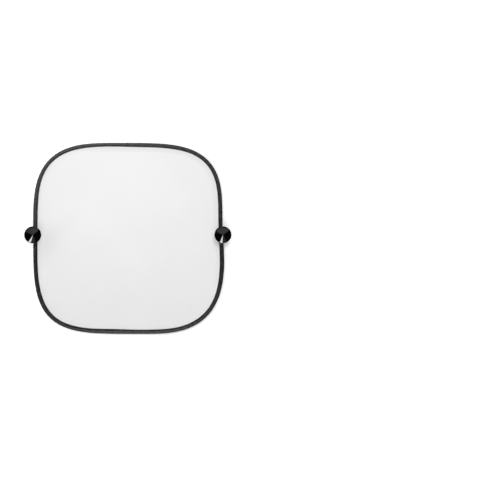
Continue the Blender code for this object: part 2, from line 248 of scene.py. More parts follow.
class Value:
    """A number that changes over a surface. Arithmetic on it adds Math nodes."""

    def __init__(self, graph, socket):
        self.graph = graph
        self.socket = socket

    def math(self, operation, *terms):
        return self.graph.value("ShaderNodeMath", {"operation": operation}, dict(enumerate(terms)))

    def __add__(self, other):
        return self.math("ADD", self, other)

    def __radd__(self, other):
        return self.math("ADD", other, self)

    def __sub__(self, other):
        return self.math("SUBTRACT", self, other)

    def __rsub__(self, other):
        return self.math("SUBTRACT", other, self)

    def __mul__(self, other):
        return self.math("MULTIPLY", self, other)

    def __rmul__(self, other):
        return self.math("MULTIPLY", other, self)

    def __pow__(self, other):
        return self.math("POWER", self, other)

    def __abs__(self):
        return self.math("ABSOLUTE", self)

    def sine(self):
        return self.math("SINE", self)

    def angle_to(self, other):
        """The direction of a point whose sideways distance this is, and whose distance ahead other is."""
        return self.math("ARCTAN2", self, other)

    def lowest(self, other):
        return self.math("MINIMUM", self, other)

    def highest(self, other):
        return self.math("MAXIMUM", self, other)

    def kept_to_share(self):
        """Held between 0 and 1."""
        return self.lowest(1.0).highest(0.0)

    def rise(self, start, end):
        """0 before start, 1 past end, and a smooth rise between them."""
        sockets = {"Value": self, "From Min": start, "From Max": end}
        return self.graph.value("ShaderNodeMapRange", {"interpolation_type": "SMOOTHSTEP"}, sockets)


class Graph:
    """The nodes of one finish, of the floor or of the world."""

    def __init__(self, owner):
        owner.use_nodes = True
        is_world = isinstance(owner, bpy.types.World)
        self.output = "ShaderNodeOutputWorld" if is_world else "ShaderNodeOutputMaterial"
        self.tree = owner.node_tree
        self.tree.nodes.clear()

    def node(self, kind, settings=None, sockets=None):
        """Adds a node, with its settings first and then the values or links of its sockets."""
        made = self.tree.nodes.new(kind)
        for name, setting in (settings or {}).items():
            setattr(made, name, setting)
        for name, value in (sockets or {}).items():
            if isinstance(value, Value):
                value = value.socket
            if isinstance(value, bpy.types.NodeSocket):
                self.tree.links.new(value, made.inputs[name])
            else:
                made.inputs[name].default_value = value
        return made

    def value(self, kind, settings=None, sockets=None):
        return Value(self, self.node(kind, settings, sockets).outputs[0])

    def surface(self, shader):
        self.node(self.output, None, {"Surface": shader.outputs[0]})

    def run(self, name="run"):
        """One of the piece's own UV maps, in metres."""
        return self.node("ShaderNodeUVMap", {"uv_map": name}).outputs[0]

    def own_place(self):
        return self.node("ShaderNodeTexCoord").outputs["Object"]

    def split(self, vector):
        parts = self.node("ShaderNodeSeparateXYZ", None, {0: vector})
        return [Value(self, parts.outputs[axis]) for axis in range(3)]

    def seen_by(self, *rays):
        """1 for these kinds of ray and 0 for the others."""
        path = self.node("ShaderNodeLightPath")
        first, *others = (Value(self, path.outputs[ray]) for ray in rays)
        for ray in others:
            first = first.highest(ray)
        return first

    def mix(self, share, first, second):
        """Between two colours, by a share that changes over the surface."""
        sockets = {0: share, 6: first, 7: second}
        return self.node("ShaderNodeMix", {"data_type": "RGBA"}, sockets).outputs[2]

    def scaled(self, place, scale):
        return self.node("ShaderNodeMapping", None, {"Vector": place, "Scale": scale}).outputs[0]

    def noise(self, place, size, detail=2.0, stretch=(1, 1, 1)):
        """Soft random patches of about one size, in metres."""
        moved = self.scaled(place, [stretched / size for stretched in stretch])
        sockets = {"Vector": moved, "Scale": 1.0, "Detail": detail}
        return self.value("ShaderNodeTexNoise", None, sockets)

    def spots(self, place, size):
        """Distance from scattered points, in sizes."""
        moved = self.scaled(place, [1 / size] * 3)
        return self.value("ShaderNodeTexVoronoi", None, {"Vector": moved, "Scale": 1.0})

    def bump(self, height, depth, strength, under=None):
        sockets = {"Strength": strength, "Distance": depth, "Height": height}
        if under:
            sockets["Normal"] = under
        return self.node("ShaderNodeBump", None, sockets).outputs[0]

    def principled(self, sockets):
        self.surface(self.node("ShaderNodeBsdfPrincipled", None, sockets))


def grey(level, tint=(1.0, 1.0, 1.0)):
    """A grey by its level from 0 to 255 as it shows on a screen."""
    share = level / 255
    linear = share / 12.92 if share <= 0.04045 else ((share + 0.055) / 1.055) ** 2.4
    return (linear * tint[0], linear * tint[1], linear * tint[2], 1.0)


def new_finish(name):
    material = bpy.data.materials.new(name)
    return material, Graph(material)


# Scene helpers

def deselect_all():
    if bpy.context.object and bpy.context.object.mode != "OBJECT":
        bpy.ops.object.mode_set(mode="OBJECT")
    bpy.ops.object.select_all(action="DESELECT")


def only(piece):
    deselect_all()
    piece.select_set(True)
    bpy.context.view_layer.objects.active = piece


def apply_place(piece):
    only(piece)
    bpy.ops.object.transform_apply(location=True, rotation=True, scale=True)


def mesh_piece(name, points, faces):
    mesh = bpy.data.meshes.new(name)
    mesh.from_pydata(points, [], faces)
    mesh.update()
    piece = bpy.data.objects.new(name, mesh)
    bpy.context.scene.collection.objects.link(piece)
    return piece


def read_vertices(piece):
    points = np.zeros(len(piece.data.vertices) * 3)
    piece.data.vertices.foreach_get("co", points)
    return points.reshape(-1, 3)


def corner_vertices(piece):
    """The vertex at each corner of each face, in order."""
    corners = np.zeros(len(piece.data.loops), np.int32)
    piece.data.loops.foreach_get("vertex_index", corners)
    return corners


def drop_maps(piece):
    for layer in list(piece.data.uv_layers):
        piece.data.uv_layers.remove(layer)


def set_run(piece, along, across, name="run"):
    """Lays one of the piece's own UV maps: distance along and across, in metres, for each
    face corner."""
    layer = piece.data.uv_layers.new(name=name)
    layer.data.foreach_set("uv", np.column_stack([along, across]).astype(np.float32).ravel())


def face_outwards(piece):
    bm = bmesh.new()
    bm.from_mesh(piece.data)
    bmesh.ops.recalc_face_normals(bm, faces=bm.faces)
    bm.to_mesh(piece.data)
    bm.free()


def smooth(piece, angle):
    only(piece)
    bpy.ops.object.shade_smooth_by_angle(angle=math.radians(angle))


# Camera, lamps, room and floor

def make_camera():
    bpy.context.scene.view_settings.view_transform = "Standard"
    camera = bpy.data.objects.new("camera", bpy.data.cameras.new("camera"))
    bpy.context.scene.collection.objects.link(camera)
    camera.location = CAMERA_PLACE
    camera.data.lens = CAMERA_LENS
    camera.data.clip_end = CAMERA_REACH
    bpy.context.scene.camera = camera


def direction(azimuth, off_overhead):
    """A direction from the shade, by degrees anticlockwise from +X and degrees down from overhead."""
    turn = math.radians(azimuth)
    lean = math.radians(off_overhead)
    return Vector((math.cos(turn) * math.sin(lean), math.sin(turn) * math.sin(lean), math.cos(lean)))


def make_softbox(name, setup, mirrored=False):
    """A lamp facing the shade, its width level and its height along the climb to overhead. One that
    is mirrored only shows as a gloss, and the others light without showing."""
    azimuth, off_overhead, distance, wide, tall, brightness = setup
    lamp = bpy.data.lights.new(name, "AREA")
    lamp.shape = "RECTANGLE"
    lamp.size = wide
    lamp.size_y = tall
    lamp.energy = brightness * math.pi * wide * tall
    made = bpy.data.objects.new(name, lamp)
    bpy.context.scene.collection.objects.link(made)
    made.visible_camera = False
    made.visible_glossy = mirrored
    made.visible_diffuse = not mirrored
    back = direction(azimuth, off_overhead)
    level = Vector((0, 0, 1)).cross(back).normalized()
    climb = back.cross(level)
    turned = Matrix((level, climb, back)).transposed().to_4x4()
    made.matrix_world = Matrix.Translation(back * distance) @ turned


def make_lamps():
    """The strip light draws the bright wedge in each cup, and the softboxes light the shade."""
    make_softbox("strip light", STRIP_LIGHT, mirrored=True)
    make_softbox("key softbox", KEY_SOFTBOX)
    make_softbox("near softbox", NEAR_SOFTBOX)
    make_softbox("fill softbox", FILL_SOFTBOX)


def make_world():
    """A dark room, white to the camera, with a grey card in front, a soft glow and a window
    behind, and paler walls down by the horizon."""
    world = bpy.data.worlds.new("studio")
    bpy.context.scene.world = world
    graph = Graph(world)
    look = graph.split(graph.node("ShaderNodeTexCoord").outputs["Generated"])
    card = room_patch(look, *GREY_CARD) * CARD_BRIGHTNESS
    glow = room_patch(look, *EDGE_GLOW) * EDGE_GLOW_BRIGHTNESS
    window = room_patch(look, *WINDOW) * WINDOW_BRIGHTNESS
    horizon = (1 - look[2].rise(*HORIZON)) * HORIZON_BRIGHTNESS
    light = (card + glow + window + horizon).highest(graph.seen_by("Is Camera Ray"))
    graph.surface(graph.node("ShaderNodeBackground", None, {"Color": light, "Strength": 1.0}))


def up_at(off_overhead):
    """How high a direction points, from 1 overhead to 0 on the horizon."""
    return math.cos(math.radians(off_overhead))


def room_patch(look, azimuth, half_width, softness, top, bottom):
    """1 inside a part of the room round one azimuth, with soft sides, top and bottom."""
    x, y, z = look
    turn = math.radians(azimuth)
    ahead = x * math.cos(turn) + y * math.sin(turn)
    aside = y * math.cos(turn) - x * math.sin(turn)
    away = abs(aside.angle_to(ahead))
    inner = math.radians(half_width - softness / 2)
    outer = math.radians(half_width + softness / 2)
    above_bottom = z.rise(up_at(bottom[1]), up_at(bottom[0]))
    above_top = z.rise(up_at(top[1]), up_at(top[0]))
    return (1 - away.rise(inner, outer)) * above_bottom * (1 - above_top)


def make_floor():
    """Pale paper that takes the shade's shadow. The camera sees it lifted to white, more so on
    the left and far away, where less light falls on it."""
    deselect_all()
    bpy.ops.mesh.primitive_plane_add(size=FLOOR_SIZE, location=(0, 0, -FLOOR_DROP))
    floor = bpy.context.object
    floor.name = "floor"
    material, graph = new_finish("white paper floor")
    x, y, _ = graph.split(graph.own_place())
    on_left = 1 - x.rise(*FLOOR_LEFT)
    far_away = ((x * x + y * y) ** 0.5).rise(*FLOOR_FAR)
    glow = FLOOR_LIFT + on_left * FLOOR_LEFT_LIFT + far_away * FLOOR_FAR_LIFT
    lit = graph.node("ShaderNodeBsdfDiffuse", None, {"Color": (1.0, 1.0, 1.0, 1)})
    lift = graph.node("ShaderNodeEmission", None, {"Color": glow, "Strength": 1.0})
    white = graph.node("ShaderNodeAddShader", None, {0: lit.outputs[0], 1: lift.outputs[0]})
    plain = graph.node("ShaderNodeBsdfDiffuse", None, {"Color": (0.8, 0.8, 0.8, 1)})
    seen = graph.seen_by("Is Camera Ray", "Is Glossy Ray", "Is Transmission Ray")
    sockets = {0: seen, 1: plain.outputs[0], 2: white.outputs[0]}
    graph.surface(graph.node("ShaderNodeMixShader", None, sockets))
    floor.data.materials.append(material)


# The outline: the middle line of the tape, seen from above

def corner(side, crown, square):
    """One corner of the outline, from a side's crown to the top or bottom crown."""
    halfway = 0.5 ** (1 / square)
    share = np.linspace(0, halfway, CORNER_STEPS)
    rest = (1 - share ** square) ** (1 / square)
    across = np.concatenate([rest, share[::-1][1:]])
    along = np.concatenate([share, rest[::-1][1:]])
    x = crown[0] + (side[0] - crown[0]) * across
    y = side[1] + (crown[1] - side[1]) * along
    return np.column_stack([x, y])


def raw_outline():
    """Four squarish corners meeting at the crowns of the sides, anticlockwise from the right."""
    right = (LINE_HALF_WIDTH, RIGHT_CROWN_Y)
    left = (-LINE_HALF_WIDTH, LEFT_CROWN_Y)
    top = (TOP_CROWN_X, LINE_HALF_HEIGHT)
    bottom = (BOTTOM_CROWN_X, -LINE_HALF_HEIGHT)
    top_right = corner(right, top, TOP_RIGHT_SQUARENESS)
    top_left = corner(left, top, TOP_LEFT_SQUARENESS)[::-1]
    bottom_left = corner(left, bottom, BOTTOM_LEFT_SQUARENESS)
    bottom_right = corner(right, bottom, BOTTOM_RIGHT_SQUARENESS)[::-1]
    corners = (top_right, top_left, bottom_left, bottom_right)
    return np.vstack([points[:-1] for points in corners])


def dented(points):
    """Pulls the outline in along a smooth hollow behind the right cup."""
    angle = np.arctan2(points[:, 1], points[:, 0])
    reach = np.hypot(points[:, 0], points[:, 1])
    off = np.abs(angle - DENT_DIRECTION) / DENT_SPREAD
    pull = np.where(off < 1, 0.5 + 0.5 * np.cos(math.pi * np.minimum(off, 1)), 0)
    share = 1 - DENT_DEPTH * pull / reach
    return points * share[:, None]


def side_x(points, side):
    """How far out the outline is at the height of the cups, on the side +1 or -1."""
    near = points[points[:, 0] * side > 0]
    near = near[np.argsort(near[:, 1])]
    return float(np.interp(CUP_Y, near[:, 1], near[:, 0]))


def centred_outline():
    """The outline, moved sideways so that the two cups stand evenly about the origin."""
    points = dented(raw_outline())
    shift = (side_x(points, 1) + side_x(points, -1)) / 2
    return points - np.array([shift, 0])


def travel_along(points):
    """How far round the outline each point is, with the whole length at the end."""
    step = np.roll(points, -1, axis=0) - points
    return np.concatenate([[0], np.cumsum(np.hypot(step[:, 0], step[:, 1]))])


OUTLINE = centred_outline()
TRAVEL = travel_along(OUTLINE)
LENGTH = TRAVEL[-1]


def edge_at(distance):
    """Places on the outline at distances along it."""
    ring = np.vstack([OUTLINE, OUTLINE[:1]])
    wrapped = np.mod(distance, LENGTH)
    return np.column_stack([np.interp(wrapped, TRAVEL, ring[:, axis]) for axis in (0, 1)])


def heading_at(distance):
    """The outline's direction at distances along it, taken over a millimetre each way."""
    ahead = edge_at(distance + 0.001) - edge_at(distance - 0.001)
    return ahead / np.hypot(ahead[:, 0], ahead[:, 1])[:, None]


def normal_at(distance):
    """Straight out from the shade, level, at distances along the outline."""
    ahead = heading_at(distance)
    return np.column_stack([ahead[:, 1], -ahead[:, 0]])


def azimuth_of(points):
    return np.arctan2(points[:, 1], points[:, 0])


def height(x, y):
    """The hoop is a very shallow saddle: lifted by the cups' heads, down at top and bottom."""
    rise = (x ** 2 / LINE_HALF_WIDTH ** 2 - y ** 2 / LINE_HALF_HEIGHT ** 2) / 2
    return (SOCKET_Z + FOLD_RADIUS) / 2 + (SOCKET_Z - FOLD_RADIUS) * rise


def smoothstep(low, high, value):
    share = np.clip((value - low) / (high - low), 0, 1)
    return share * share * (3 - 2 * share)


def wander(distance, slowest, quickest, seed):
    """A smooth random change round the hoop that closes on itself, mostly within -1 and 1. Its
    waves run from the slowest to the quickest number of turns."""
    draw = np.random.default_rng(seed)
    total = np.zeros_like(distance)
    for turns in range(slowest, quickest + 1):
        total += np.cos(2 * math.pi * turns * distance / LENGTH + draw.uniform(0, 2 * math.pi))
    return total / math.sqrt(quickest - slowest + 1)


def away_from_cups(distance):
    """0 in the cups' slots and 1 clear of them."""
    place = edge_at(distance)
    calm = np.ones(len(distance))
    for joint in frame["joints"]:
        hinge = joint["pos_m"]
        reach = np.hypot(place[:, 0] - hinge[0], place[:, 1] - hinge[1])
        calm *= smoothstep(CUP_CALM_START, CUP_CALM_END, reach)
    return calm


def leg_shift(distance):
    """How far the legs lie further out than at their true width."""
    azimuth = np.degrees(azimuth_of(edge_at(distance)))
    shift = LEG_WANDER * wander(distance, 5, 16, 3) * away_from_cups(distance)
    for middle, reach, narrower in UNEVEN_FOLDS:
        off = (azimuth - middle + 180) % 360 - 180
        shift += narrower * np.exp(-(off / reach) ** 2)
    return shift


# The tape

def arc(centre, radius, start, end, steps):
    """Points on a circle arc in a plane, both ends included. Angles are in degrees."""
    angles = np.radians(np.linspace(start, end, steps + 1))
    return [(centre[0] + radius * math.cos(a), centre[1] + radius * math.sin(a)) for a in angles]


def tape_slope():
    """The angle at which each leg rises from the seam to lie against the fold's round back."""
    across = FOLD_CENTRE - SEAM_PLACE
    rise = LEG_HEIGHT + SEAM_BEND_RADIUS
    between = math.hypot(across, rise)
    return math.atan2(across, rise) - math.acos((FOLD_MIDDLE_RADIUS + SEAM_BEND_RADIUS) / between)


def half_section(offset, fold_steps, leg_places, slope_steps):
    """One face of the upper half of the folded tape, from the fold's outermost point to the leg."""
    slope = math.degrees(tape_slope())
    fold = arc((FOLD_CENTRE, 0), FOLD_MIDDLE_RADIUS + offset, 0, 90 + slope, fold_steps)
    bend_centre = (SEAM_PLACE + SEAM_BEND_SHIFT, LEG_HEIGHT + SEAM_BEND_RADIUS)
    bend = arc(bend_centre, SEAM_BEND_RADIUS - offset, slope - 90, -90, 2)
    start = np.array(fold[-1])
    end = np.array(bend[0])
    run = [tuple(start + (end - start) * step / slope_steps) for step in range(1, slope_steps)]
    leg = [(-TAPE_WIDTH / 2 + place, LEG_HEIGHT + offset) for place in leg_places]
    return fold + run + bend + leg


def tape_section():
    """The closed section: across and up, its run across the tape, and how many of its points
    are on the outer face."""
    outer = half_section(TAPE_THICKNESS / 2, 8, OUTER_LEG_PLACES, 4)
    inner = half_section(-TAPE_THICKNESS / 2, 3, INNER_LEG_PLACES, 1)
    upper = outer + [(-TAPE_WIDTH / 2 - LEG_EDGE_ROUND, LEG_HEIGHT)]
    lower = [(out, -up) for out, up in upper]
    inner_lower = [(out, -up) for out, up in inner]
    outside = lower[::-1] + upper[1:]
    inside = inner[::-1] + inner_lower[1:]
    section = np.array(outside + inside)
    step = np.hypot(*np.diff(section, axis=0).T)
    run = np.concatenate([[0], np.cumsum(step)])
    return section, run, len(outside)


def places_across():
    """Where the middle of the fold comes on the tape's run across, and how far from it the
    crest and the seam come."""
    section, run, outside = tape_section()
    out, up = section[:outside].T
    run = run[:outside]
    upper = up > 0
    middle = run[np.argmax(out)]
    painted_crest_highlight, seam = (np.interp(-place, -out[upper], run[upper]) for place in (CREST_PLACE, SEAM_PLACE))
    return middle, painted_crest_highlight - middle, seam - middle


FOLD_RUN, CREST_RUN, SEAM_RUN = places_across()


def make_tape():
    """The section swept round the outline, pressed down by the stitches and puckered by them."""
    section, run, outside = tape_section()
    count = STITCHES * STATIONS_PER_STITCH
    stations = LENGTH * np.arange(count) / count
    place = edge_at(stations)
    normal = normal_at(stations)
    distance = stations[:, None]
    out = section[:, 0][None, :]
    up = section[:, 1][None, :]
    outer_face = (np.arange(len(section)) < outside)[None, :]
    calm = away_from_cups(stations)[:, None]
    swell = TAPE_PUCKER * roping_height(distance, out, up) * calm * outer_face
    swell = swell * smoothstep(SEAM_PLACE, SEAM_PLACE + PUCKER_RISE, out)
    bulge = swell_direction(section)
    on_leg = 1 - smoothstep(SEAM_PLACE + WANDER_PAST_SEAM, FOLD_CENTRE - WANDER_SHORT_OF_FOLD, out)
    moved_out = out + leg_shift(stations)[:, None] * on_leg + swell * bulge[:, 0][None, :]
    lifted = edge_wave(distance, out) * calm - seam_dip(distance, out)
    moved_up = up + swell * bulge[:, 1][None, :] + np.sign(up) * lifted
    x = place[:, 0][:, None] + moved_out * normal[:, 0][:, None]
    y = place[:, 1][:, None] + moved_out * normal[:, 1][:, None]
    z = np.maximum(height(place[:, 0], place[:, 1])[:, None] + moved_up, 0)
    points = np.stack([x, y, z], axis=-1).reshape(-1, 3)
    tape = mesh_piece("folded_edge_tape", points.tolist(), ring_faces(count, len(section)))
    lay_tape_run(tape, run, count)
    face_outwards(tape)
    smooth(tape, 50)
    return tape


def roping_height(distance, out, up):
    """Slanting puckers that the sewing pulls into the tape, each several millimetres long."""
    lean = out * PUCKER_LEAN + np.sign(up) * PUCKER_SHIFT
    turn = 2 * math.pi * PUCKERS * distance / LENGTH
    strength = PUCKER_STRENGTH + PUCKER_UNEVENNESS * wander(distance, 7, 30, 5)
    drift = PUCKER_DRIFT * wander(distance, 3, 20, 6)
    return strength * np.sin(turn + lean + drift)


def swell_direction(section):
    """Outward from the fold's middle, for the puckers to grow along."""
    away = section - np.array([FOLD_CENTRE, 0])
    size = np.maximum(np.hypot(away[:, 0], away[:, 1]), FOLD_RADIUS)
    return away / size[:, None]


def seam_dip(distance, out):
    """How far the stitches pull the tape down along the seam, most at each stitch's ends."""
    stitch_turn = 2 * math.pi * STITCHES * distance / LENGTH
    pull = 1 + SEAM_DIP_SWING * np.cos(stitch_turn)
    return SEAM_DIP * pull * np.exp(-((out - SEAM_PLACE) / SEAM_DIP_WIDTH) ** 2)


def edge_wave(distance, out):
    """How far the legs' cut edges stand off the cloth between the stitches."""
    wave = 1 + wander(distance, 60, 90, 8)
    return EDGE_WAVE * wave * (1 - smoothstep(-TAPE_WIDTH / 2, EDGE_WAVE_END, out))


def ring_faces(count, around):
    """Faces from each section to the next, and from the last back to the first."""
    faces = []
    for index in range(count):
        after = (index + 1) % count
        for point in range(around):
            following = (point + 1) % around
            faces.append((index * around + point, index * around + following,
                          after * around + following, after * around + point))
    return faces


def lay_tape_run(tape, run, count):
    """The tape's own map: distance along the outline, and across the tape."""
    around = len(run)
    stations = np.repeat(np.arange(count), around)
    point = np.tile(np.arange(around), count)
    here = LENGTH * stations / count
    there = LENGTH * (stations + 1) / count
    across = run[point]
    beyond = np.where(point + 1 < around, run[(point + 1) % around], across)
    along = np.column_stack([here, here, there, there]).ravel()
    sideways = np.column_stack([across, beyond, beyond, across]).ravel()
    set_run(tape, along, sideways)


# The seam: one run of lockstitch on top and one underneath

def drawn_out(name, sides, radius, turn, steps):
    """A round face drawn out step by step, each a move and a new size, into a closed solid."""
    deselect_all()
    bpy.ops.mesh.primitive_circle_add(vertices=sides, radius=radius, fill_type="NGON", rotation=turn)
    made = bpy.context.object
    made.name = name
    apply_place(made)
    bpy.ops.object.mode_set(mode="EDIT")
    bpy.ops.mesh.select_all(action="SELECT")
    middle = Vector((0, 0, 0))
    for move, size in steps:
        middle += Vector(move)
        bpy.ops.mesh.extrude_region_move(TRANSFORM_OT_translate={"value": move})
        bpy.ops.transform.resize(value=size, center_override=middle)
    bpy.ops.mesh.select_all(action="SELECT")
    bpy.ops.mesh.normals_make_consistent(inside=False)
    bpy.ops.object.mode_set(mode="OBJECT")
    return made


def one_stitch():
    """One visible stretch of thread, lying over the tape and diving into it at both ends."""
    half = LENGTH / STITCHES * STITCH_COVER / 2
    steps = []
    for (place, up, share), (next_place, next_up, next_share) in zip(STITCH_RINGS, STITCH_RINGS[1:]):
        size = next_share / share
        steps.append((((next_place - place) * half, 0, next_up - up), (1, size, size)))
    first_place, first_up, first_share = STITCH_RINGS[0]
    stitch = drawn_out("stitch", THREAD_SIDES, THREAD_RADIUS * first_share, (0, math.pi / 2, 0), steps)
    stitch.location = (first_place * half, 0, first_up)
    apply_place(stitch)
    return stitch


def make_stitches(name, side):
    """Copies of one stitch along the seam, joined into one run of thread, on the side +1 or -1."""
    stitch = one_stitch()
    shape = read_vertices(stitch)
    shape_faces = [list(face.vertices) for face in stitch.data.polygons]
    bpy.data.objects.remove(stitch)
    distance = LENGTH * (np.arange(STITCHES) + 0.5) / STITCHES
    place = edge_at(distance)
    normal = normal_at(distance)
    heading = heading_at(distance)
    lean = STITCH_LEAN * (1 + 0.5 * wander(distance, 40, 120, 11 + side))
    seam = SEAM_PLACE + leg_shift(distance) + THREAD_WANDER * wander(distance, 50, 130, 21 + side)
    top = LEG_HEIGHT + TAPE_THICKNESS / 2 - SEAM_DIP * THREAD_SINK
    points = []
    faces = []
    for index in range(STITCHES):
        along = shape[:, 0] * math.cos(lean[index]) - shape[:, 1] * math.sin(lean[index])
        across = shape[:, 0] * math.sin(lean[index]) + shape[:, 1] * math.cos(lean[index])
        flat = (place[index] + np.outer(along, heading[index])
                + np.outer(seam[index] + across, normal[index]))
        level = height(flat[:, 0], flat[:, 1]) + side * (top + shape[:, 2])
        faces += [[vertex + len(points) for vertex in face] for face in shape_faces]
        points += np.column_stack([flat, level]).tolist()
    thread = mesh_piece(name, points, faces)
    lay_thread_run(thread, shape, shape_faces)
    face_outwards(thread)
    smooth(thread, 60)
    return thread


def lay_thread_run(thread, shape, shape_faces):
    """Along the thread, and round it as a distance, for the twist of its plies."""
    turn = np.arctan2(shape[:, 1], shape[:, 2] - shape[:, 2].mean())
    along = []
    across = []
    for face in shape_faces:
        turns = np.unwrap([turn[vertex] for vertex in face])
        along += [shape[vertex, 0] for vertex in face]
        across += [value * THREAD_RADIUS for value in turns]
    set_run(thread, np.tile(along, STITCHES), np.tile(across, STITCHES))


# The cloth: one sheet, stretched in the hoop and cut to end inside the tape

def make_cloth():
    """A square grid drawn round to the hoop's outline, laid on its saddle and given its thickness."""
    deselect_all()
    bpy.ops.mesh.primitive_grid_add(x_subdivisions=CLOTH_GRID, y_subdivisions=CLOTH_GRID, size=2)
    cloth = bpy.context.object
    cloth.name = "woven_cloth"
    apply_place(cloth)
    drop_maps(cloth)
    flat = read_vertices(cloth)
    ring = np.maximum(np.abs(flat[:, 0]), np.abs(flat[:, 1]))
    angle = azimuth_of(flat)
    reach = cloth_reach(angle)
    x = ring * reach * np.cos(angle)
    y = ring * reach * np.sin(angle)
    inward = (1 - ring) * reach
    z = height(x, y) + cloth_wave(x, y, ring) + cloth_pucker(angle, inward)
    cloth.data.vertices.foreach_set("co", np.column_stack([x, y, z]).ravel())
    corners = corner_vertices(cloth)
    set_run(cloth, x[corners], y[corners])
    set_run(cloth, inward[corners], along_hem(angle[corners]), "hem")
    only(cloth)
    wall = cloth.modifiers.new("cloth thickness", "SOLIDIFY")
    wall.thickness = CLOTH_THICKNESS
    wall.offset = 0
    bpy.ops.object.modifier_apply(modifier=wall.name)
    smooth(cloth, 40)
    return cloth


def cloth_reach(angle):
    """How far from the middle the cloth's cut edge is, at each azimuth."""
    distance = LENGTH * np.arange(CLOTH_EDGE_STEPS) / CLOTH_EDGE_STEPS
    edge = edge_at(distance) + normal_at(distance) * (CLOTH_UNDER_TAPE - TAPE_WIDTH / 2)
    edge_angle = azimuth_of(edge)
    order = np.argsort(edge_angle)
    out = np.hypot(edge[:, 0], edge[:, 1])
    return np.interp(angle, edge_angle[order], out[order], period=2 * math.pi)


def along_hem(angle):
    """Distance round the hem, unbroken over each four-cornered face where the azimuths wrap."""
    distance = (angle.reshape(-1, 4) / (2 * math.pi)) * LENGTH
    wraps = np.ptp(distance, axis=1) > LENGTH / 2
    distance[wraps[:, None] & (distance < 0)] += LENGTH
    return distance.ravel()


def cloth_wave(x, y, ring):
    """Very low waves where the sprung hoop pulls more one way than the other."""
    fade = 1 - smoothstep(0.75, 0.985, ring)
    slant = np.sin(2 * math.pi * (x * 0.8 + y * 0.6) / SLANT_WAVE_LENGTH + 0.9)
    cross = np.sin(2 * math.pi * (y * 0.85 - x * 0.5) / CROSS_WAVE_LENGTH + 2.1)
    bow = np.cos(math.pi * x / CLOTH_BOW_SPAN) * np.cos(math.pi * y / CLOTH_BOW_SPAN)
    return CLOTH_WAVE * fade * (slant + 1.2 * cross) + CLOTH_BOW * bow * fade


def cloth_pucker(angle, inward):
    """Short gathers along the seam that die out towards the middle."""
    away = inward - CLOTH_PUCKER_START
    rise = smoothstep(0.0, CLOTH_PUCKER_RISE, away)
    fall = 1 - smoothstep(CLOTH_PUCKER_RISE, CLOTH_PUCKER_REACH, away)
    distance = np.mod(angle, 2 * math.pi) / (2 * math.pi) * LENGTH
    return CLOTH_PUCKER * rise * fall * wander(distance, 50, 110, 31)


# The suction cups: turned, with a keyhole slot through the head

def cup_profile():
    """Radius and height from the foot, round the head, neck and rim to the middle of the face."""
    lip_slope = math.degrees(CUP_LIP_SLOPE)
    cone = math.degrees(CUP_CONE_ANGLE)
    back = math.degrees(CUP_BACK_ANGLE)
    back_z = HEAD_HEIGHT + NECK_LENGTH
    rim_centre = CUP_RADIUS - CUP_EDGE_ROUND
    lip_radius = rim_centre - CUP_LIP_WIDTH
    root_z = back_z + (lip_radius - NECK_RADIUS) * math.tan(CUP_BACK_ANGLE)
    top = root_z + CUP_LIP_ROOT
    # Head
    head_centre = HEAD_RADIUS - HEAD_ROUND
    points = arc((head_centre, HEAD_ROUND), HEAD_ROUND, -90, 0, 8)
    points += arc((head_centre, HEAD_HEIGHT - HEAD_ROUND), HEAD_ROUND, 0, 90, 8)
    # Neck
    points += arc((NECK_RADIUS + HEAD_FILLET, HEAD_HEIGHT + HEAD_FILLET), HEAD_FILLET, 270, 180, 4)
    rounding = math.tan((math.pi / 2 - CUP_BACK_ANGLE) / 2)
    fillet_centre = (NECK_RADIUS + NECK_FILLET, back_z - NECK_FILLET * rounding)
    points += arc(fillet_centre, NECK_FILLET, 180, back + 90, 6)
    # Back and rim
    blend_z = root_z - CUP_LIP_BLEND * math.tan(CUP_BACK_ANGLE)
    points += [(lip_radius - CUP_LIP_BLEND, blend_z), (lip_radius, root_z - CUP_BACK_BLEND)]
    lower_edge = top - CUP_RIM_THICKNESS + CUP_EDGE_ROUND
    points += arc((rim_centre, lower_edge), CUP_EDGE_ROUND, -90, 0, 5)
    points += arc((rim_centre, top - CUP_EDGE_ROUND), CUP_EDGE_ROUND, 0, 90 + lip_slope, 5)
    # Sloping lip
    rim_radius, rim_top = points[-1]
    for radius in (rim_radius - CUP_LIP_RING, lip_radius + CUP_LIP_BLEND, lip_radius):
        points += [(radius, rim_top - (rim_radius - radius) * math.tan(CUP_LIP_SLOPE))]
    # Cone and its rounded middle
    cone_tip = points[-1][1] - lip_radius * math.tan(CUP_CONE_ANGLE)
    for radius in (lip_radius - CUP_LIP_BLEND, CUP_CONE_RING):
        points += [(radius, cone_tip + radius * math.tan(CUP_CONE_ANGLE))]
    apex_centre = (0, cone_tip + CUP_APEX_ROUND / math.cos(CUP_CONE_ANGLE))
    points += arc(apex_centre, CUP_APEX_ROUND, cone - 90, -88, 8)
    return points


def cup_place(joint):
    """The hinge of a cup, with local +X pointing out from the shade."""
    sideways = -Vector(joint["axis"]).normalized()
    upward = Vector((0, 0, 1))
    outward = sideways.cross(upward)
    turned = Matrix((outward, sideways, upward)).transposed().to_4x4()
    return Matrix.Translation(Vector(joint["pos_m"])) @ turned


def make_cup(name, joint):
    """A cup drawn out ring by ring, slotted while it stands at the origin, then moved to its hinge."""
    profile = cup_profile()
    steps = []
    for (radius, up), (following, above) in zip(profile, profile[1:]):
        size = following / radius
        steps.append(((0, 0, above - up), (size, size, 1)))
    cup = drawn_out(name, CUP_SIDES, profile[0][0], (0, 0, 0), steps)
    cup.location = (CUP_OVERHANG, 0, -SOCKET_Z)
    apply_place(cup)
    lay_cup_run(cup)
    cut_slot(cup)
    cup.matrix_world = cup_place(joint)
    apply_place(cup)
    smooth(cup, 30)
    return cup


